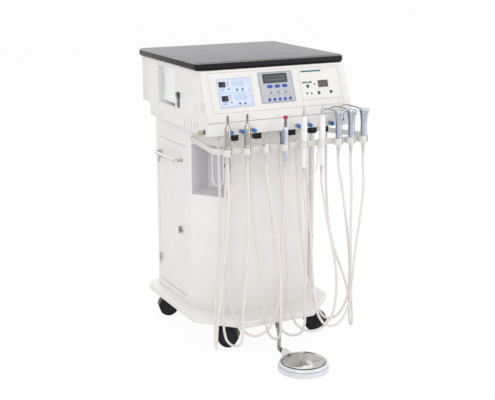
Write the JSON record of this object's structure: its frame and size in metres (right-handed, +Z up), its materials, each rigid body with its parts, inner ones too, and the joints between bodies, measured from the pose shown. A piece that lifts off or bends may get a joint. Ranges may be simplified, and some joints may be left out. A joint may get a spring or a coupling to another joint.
{
  "type": "portable dental unit",
  "caption": "Mobile dental treatment cart: control housing over a chamfered cabinet on castors, with handpieces and air syringes hung on looped hoses and a foot control.",
  "frame": {"origin": "on the floor, straight below the middle of the worktop", "axes": "+X to the right seen from the front, +Y to the rear (the control panel faces -Y), +Z up"},
  "size_m": [0.6698, 0.917, 1.076],
  "materials": {
    "worktop_dark": "gloss",
    "ivory_paint": "satin",
    "white_plastic": "satin",
    "black_plastic": "satin",
    "panel_ivory": "satin",
    "keypad_blue": "satin",
    "keypad_grey": "satin",
    "keypad_cream": "satin",
    "display_dark": "gloss",
    "key_blue": "satin",
    "strip_white": "satin",
    "valve_brass": "polished",
    "knob_blue": "gloss",
    "coupler_dark": "satin",
    "fitting_chrome": "polished",
    "handpiece_steel": "satin",
    "handpiece_blue": "satin",
    "handpiece_white": "gloss",
    "syringe_metal": "satin",
    "handle_chrome": "polished",
    "lock_dark": "satin",
    "castor_black": "satin",
    "castor_tread": "matte",
    "pedal_ring": "satin",
    "pedal_steel": "polished",
    "electronics": "matte",
    "compressor_grey": "satin",
    "conduit_grey": "matte",
    "hose_ivory": "satin",
    "hose_tan": "satin"
  },
  "bodies": {
    "cart": {"table_top": "worktop_dark", "housing_shell": "ivory_paint", "pocket_liner": "white_plastic", "control_bezel": "panel_ivory", "left_keypad": "keypad_blue", "centre_module": "keypad_grey", "right_module": "keypad_cream", "display_windows": "display_dark", "soft_keys": "key_blue", "valve_strip": "strip_white", "needle_valves": "valve_brass", "air_fittings": "coupler_dark", "holder_switches": "black_plastic", "hose_fittings": "fitting_chrome", "holder_rail": "white_plastic", "tool_holders": "panel_ivory", "cabinet_shell": "ivory_paint", "base_plate": "ivory_paint", "foot_base": "pedal_ring", "electronics_tray": "electronics", "compressor": "compressor_grey", "supply_conduit": "conduit_grey", "hose_1": "hose_ivory", "hose_2": "hose_ivory", "hose_3": "hose_ivory", "hose_4": "hose_ivory", "hose_5": "hose_ivory", "hose_6": "hose_ivory", "syringe_hoses": "hose_ivory", "foot_hose": "hose_tan"},
    "rocker": {"rocker_switch": "black_plastic"},
    "knob_1": {"flow_knob_1": "knob_blue"},
    "knob_2": {"flow_knob_2": "knob_blue"},
    "knob_3": {"flow_knob_3": "knob_blue"},
    "knob_4": {"flow_knob_4": "knob_blue"},
    "knob_5": {"flow_knob_5": "knob_blue"},
    "knob_6": {"flow_knob_6": "knob_blue"},
    "motor_1": {"motor_handpiece_1": "handpiece_steel"},
    "motor_2": {"motor_handpiece_2": "handpiece_steel"},
    "endo": {"endo_handpiece": "handpiece_blue"},
    "scaler_1": {"scaler_handpiece_1": "handpiece_white"},
    "scaler_2": {"scaler_handpiece_2": "handpiece_white"},
    "syringe_1": {"air_syringe_1": "syringe_metal"},
    "syringe_2": {"air_syringe_2": "syringe_metal"},
    "syringe_3": {"air_syringe_3": "syringe_metal"},
    "button_1": {"syringe_button_1": "fitting_chrome"},
    "button_2": {"syringe_button_2": "fitting_chrome"},
    "button_3": {"syringe_button_3": "fitting_chrome"},
    "door": {"door": "ivory_paint", "door_handle": "handle_chrome"},
    "lock": {"door_lock": "lock_dark"},
    "fork_1": {"castor_fork_1": "castor_black"},
    "wheels_1": {"castor_wheels_1": "castor_tread"},
    "fork_2": {"castor_fork_2": "castor_black"},
    "wheels_2": {"castor_wheels_2": "castor_tread"},
    "fork_3": {"castor_fork_3": "castor_black"},
    "wheels_3": {"castor_wheels_3": "castor_tread"},
    "fork_4": {"castor_fork_4": "castor_black"},
    "wheels_4": {"castor_wheels_4": "castor_tread"},
    "pedal": {"foot_disc": "pedal_steel"}
  },
  "joints": [
    {"name": "rocker_tilt", "type": "hinge", "parent": "cart", "child": "rocker", "pos_m": [-0.284, -0.093, 0.924], "axis": [0, 1, 0], "range_deg": [0, 16]},
    {"name": "flow_turn_1", "type": "hinge", "parent": "cart", "child": "knob_1", "pos_m": [-0.214, -0.37, 0.844], "axis": [0, -1, 0], "range_deg": [0, 300]},
    {"name": "flow_turn_2", "type": "hinge", "parent": "cart", "child": "knob_2", "pos_m": [-0.169, -0.37, 0.844], "axis": [0, -1, 0], "range_deg": [0, 300]},
    {"name": "flow_turn_3", "type": "hinge", "parent": "cart", "child": "knob_3", "pos_m": [-0.124, -0.37, 0.844], "axis": [0, -1, 0], "range_deg": [0, 300]},
    {"name": "flow_turn_4", "type": "hinge", "parent": "cart", "child": "knob_4", "pos_m": [0.056, -0.37, 0.844], "axis": [0, -1, 0], "range_deg": [0, 300]},
    {"name": "flow_turn_5", "type": "hinge", "parent": "cart", "child": "knob_5", "pos_m": [0.101, -0.37, 0.844], "axis": [0, -1, 0], "range_deg": [0, 300]},
    {"name": "flow_turn_6", "type": "hinge", "parent": "cart", "child": "knob_6", "pos_m": [0.191, -0.37, 0.844], "axis": [0, -1, 0], "range_deg": [0, 300]},
    {"name": "motor_1_lift", "type": "slide", "parent": "cart", "child": "motor_1", "axis": [0, 0, 1], "range_m": [0, 0.045]},
    {"name": "motor_2_lift", "type": "slide", "parent": "cart", "child": "motor_2", "axis": [0, 0, 1], "range_m": [0, 0.045]},
    {"name": "endo_lift", "type": "slide", "parent": "cart", "child": "endo", "axis": [0, 0, 1], "range_m": [0, 0.09]},
    {"name": "scaler_1_lift", "type": "slide", "parent": "cart", "child": "scaler_1", "axis": [0, 0, 1], "range_m": [0, 0.11]},
    {"name": "scaler_2_lift", "type": "slide", "parent": "cart", "child": "scaler_2", "axis": [0, 0, 1], "range_m": [0, 0.11]},
    {"name": "syringe_1_lift", "type": "slide", "parent": "cart", "child": "syringe_1", "axis": [0, 0, 1], "range_m": [0, 0.06]},
    {"name": "syringe_2_lift", "type": "slide", "parent": "cart", "child": "syringe_2", "axis": [0, 0, 1], "range_m": [0, 0.06]},
    {"name": "syringe_3_lift", "type": "slide", "parent": "cart", "child": "syringe_3", "axis": [0, 0, 1], "range_m": [0, 0.06]},
    {"name": "syringe_press_1", "type": "slide", "parent": "syringe_1", "child": "button_1", "axis": [0, 1, 0], "range_m": [0, 0.002], "stiffness_N_per_m": 500, "springref_m": -0.001},
    {"name": "syringe_press_2", "type": "slide", "parent": "syringe_2", "child": "button_2", "axis": [0, 1, 0], "range_m": [0, 0.002], "stiffness_N_per_m": 500, "springref_m": -0.001},
    {"name": "syringe_press_3", "type": "slide", "parent": "syringe_3", "child": "button_3", "axis": [0, 1, 0], "range_m": [0, 0.002], "stiffness_N_per_m": 500, "springref_m": -0.001},
    {"name": "door_hinge", "type": "hinge", "parent": "cart", "child": "door", "pos_m": [-0.2593, 0.192, 0.45], "axis": [0, 0, -1], "range_deg": [0, 110]},
    {"name": "lock_turn", "type": "hinge", "parent": "door", "child": "lock", "pos_m": [-0.255, -0.027, 0.416], "axis": [-1, 0, 0], "range_deg": [0, 90]},
    {"name": "castor_swivel_1", "type": "hinge", "parent": "cart", "child": "fork_1", "pos_m": [-0.186, -0.22, 0.1], "axis": [0, 0, 1], "continuous": true},
    {"name": "castor_roll_1", "type": "hinge", "parent": "fork_1", "child": "wheels_1", "pos_m": [-0.16455, -0.238, 0.0375], "axis": [0.6428, 0.766, 0], "continuous": true},
    {"name": "castor_swivel_2", "type": "hinge", "parent": "cart", "child": "fork_2", "pos_m": [0.196, -0.22, 0.1], "axis": [0, 0, 1], "continuous": true},
    {"name": "castor_roll_2", "type": "hinge", "parent": "fork_2", "child": "wheels_2", "pos_m": [0.20914, -0.24472, 0.0375], "axis": [0.8829, 0.4695, 0], "continuous": true},
    {"name": "castor_swivel_3", "type": "hinge", "parent": "cart", "child": "fork_3", "pos_m": [-0.205, 0.171, 0.1], "axis": [0, 0, 1], "continuous": true},
    {"name": "castor_roll_3", "type": "hinge", "parent": "fork_3", "child": "wheels_3", "pos_m": [-0.23205, 0.17825, 0.0375], "axis": [-0.2588, -0.9659, 0], "continuous": true},
    {"name": "castor_swivel_4", "type": "hinge", "parent": "cart", "child": "fork_4", "pos_m": [0.205, 0.171, 0.1], "axis": [0, 0, 1], "continuous": true},
    {"name": "castor_roll_4", "type": "hinge", "parent": "fork_4", "child": "wheels_4", "pos_m": [0.219, 0.14675, 0.0375], "axis": [0.866, 0.5, 0], "continuous": true},
    {"name": "pedal_press", "type": "slide", "parent": "cart", "child": "pedal", "axis": [0, 0, -1], "range_m": [0, 0.004], "stiffness_N_per_m": 2500, "springref_m": -0.004}
  ]
}
